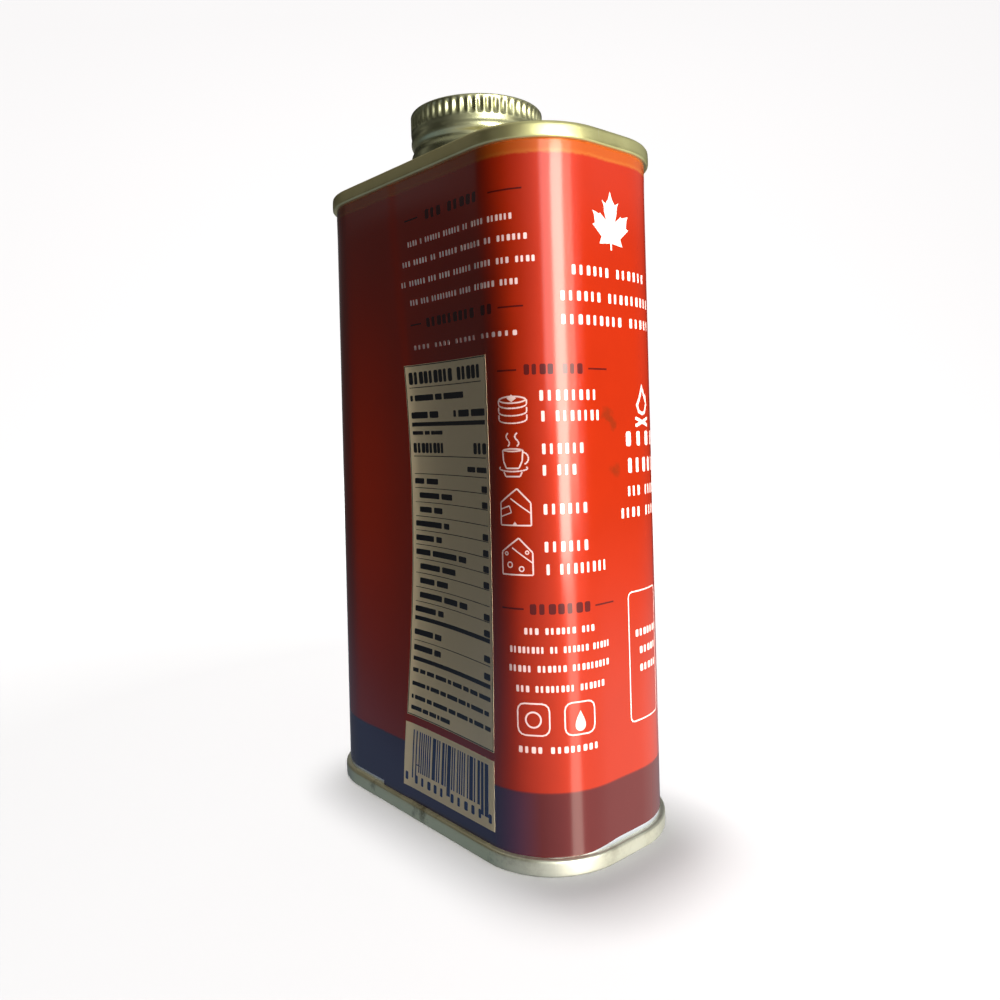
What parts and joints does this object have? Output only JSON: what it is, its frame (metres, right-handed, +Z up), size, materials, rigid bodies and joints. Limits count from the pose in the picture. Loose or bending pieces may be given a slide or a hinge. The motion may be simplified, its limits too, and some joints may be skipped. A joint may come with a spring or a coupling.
{
  "type": "maple syrup tin",
  "caption": "Flat oblong syrup tin with double-seamed gold ends, vacuum-drawn walls, a printed film sleeve and a knurled screw cap.",
  "frame": {"origin": "bottom centre, on the surface the tin stands on", "axes": "+Z up through the cap, broad faces look along -Y and +Y, narrow sides along +X and -X"},
  "size_m": [0.07, 0.0374, 0.1324],
  "materials": {
    "tinplate": "bright tinplate",
    "gold_lacquer": "satin gold lacquer on tinplate",
    "cap_lacquer": "satin gold lacquer on pressed tinplate",
    "printed_film": "glossy printed film"
  },
  "bodies": {
    "root": {"can_body": "tinplate", "bottom_end": "gold_lacquer", "top_end": "gold_lacquer", "neck": "tinplate", "screw_cap": "cap_lacquer", "label_film": "printed_film"}
  },
  "joints": []
}
